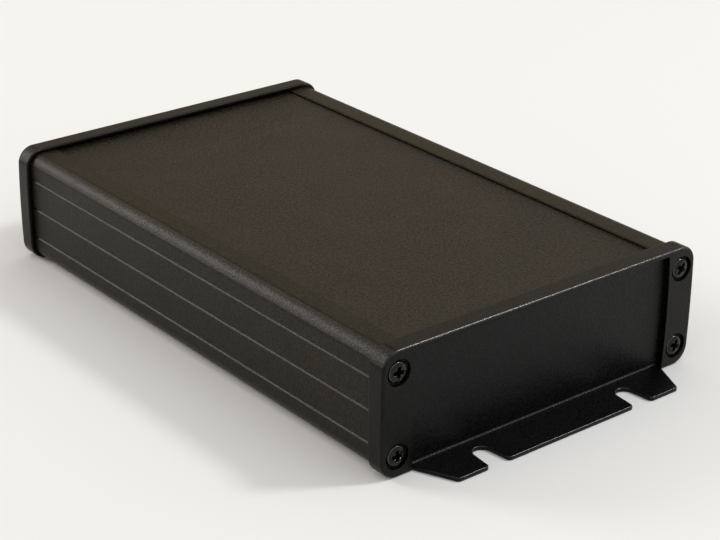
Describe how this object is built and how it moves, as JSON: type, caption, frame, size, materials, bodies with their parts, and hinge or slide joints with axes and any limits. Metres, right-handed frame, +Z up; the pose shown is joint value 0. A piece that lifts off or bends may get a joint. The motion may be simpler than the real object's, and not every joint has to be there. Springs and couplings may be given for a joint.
{
  "type": "aluminium enclosure",
  "caption": "Flat black extruded aluminium instrument enclosure with a slide-in cover, moulded end bezels and end panels bent into slotted mounting flanges.",
  "frame": {"origin": "on the ground under the middle of the box, at the height of the bezels' and flanges' undersides", "axes": "+X across the width, +Y along the length from the front end to the rear end, +Z up through the cover"},
  "size_m": [0.106, 0.1894, 0.0342],
  "materials": {
    "body_anodised": "fine satin black anodised",
    "cover_anodised": "fine satin black anodised",
    "panel_anodised": "fine satin black anodised",
    "bezel_moulding": "lightly grained black moulding",
    "screw_steel": "black oxide steel, slightly glossy"
  },
  "bodies": {
    "root": {"body_extrusion": "body_anodised", "slide_cover": "cover_anodised", "front_flanged_panel": "panel_anodised", "front_bezel": "bezel_moulding", "front_screw_upper_left": "screw_steel", "front_screw_upper_right": "screw_steel", "front_screw_lower_left": "screw_steel", "front_screw_lower_right": "screw_steel", "rear_flanged_panel": "panel_anodised", "rear_bezel": "bezel_moulding", "rear_screw_upper_left": "screw_steel", "rear_screw_upper_right": "screw_steel", "rear_screw_lower_left": "screw_steel", "rear_screw_lower_right": "screw_steel"}
  },
  "joints": []
}
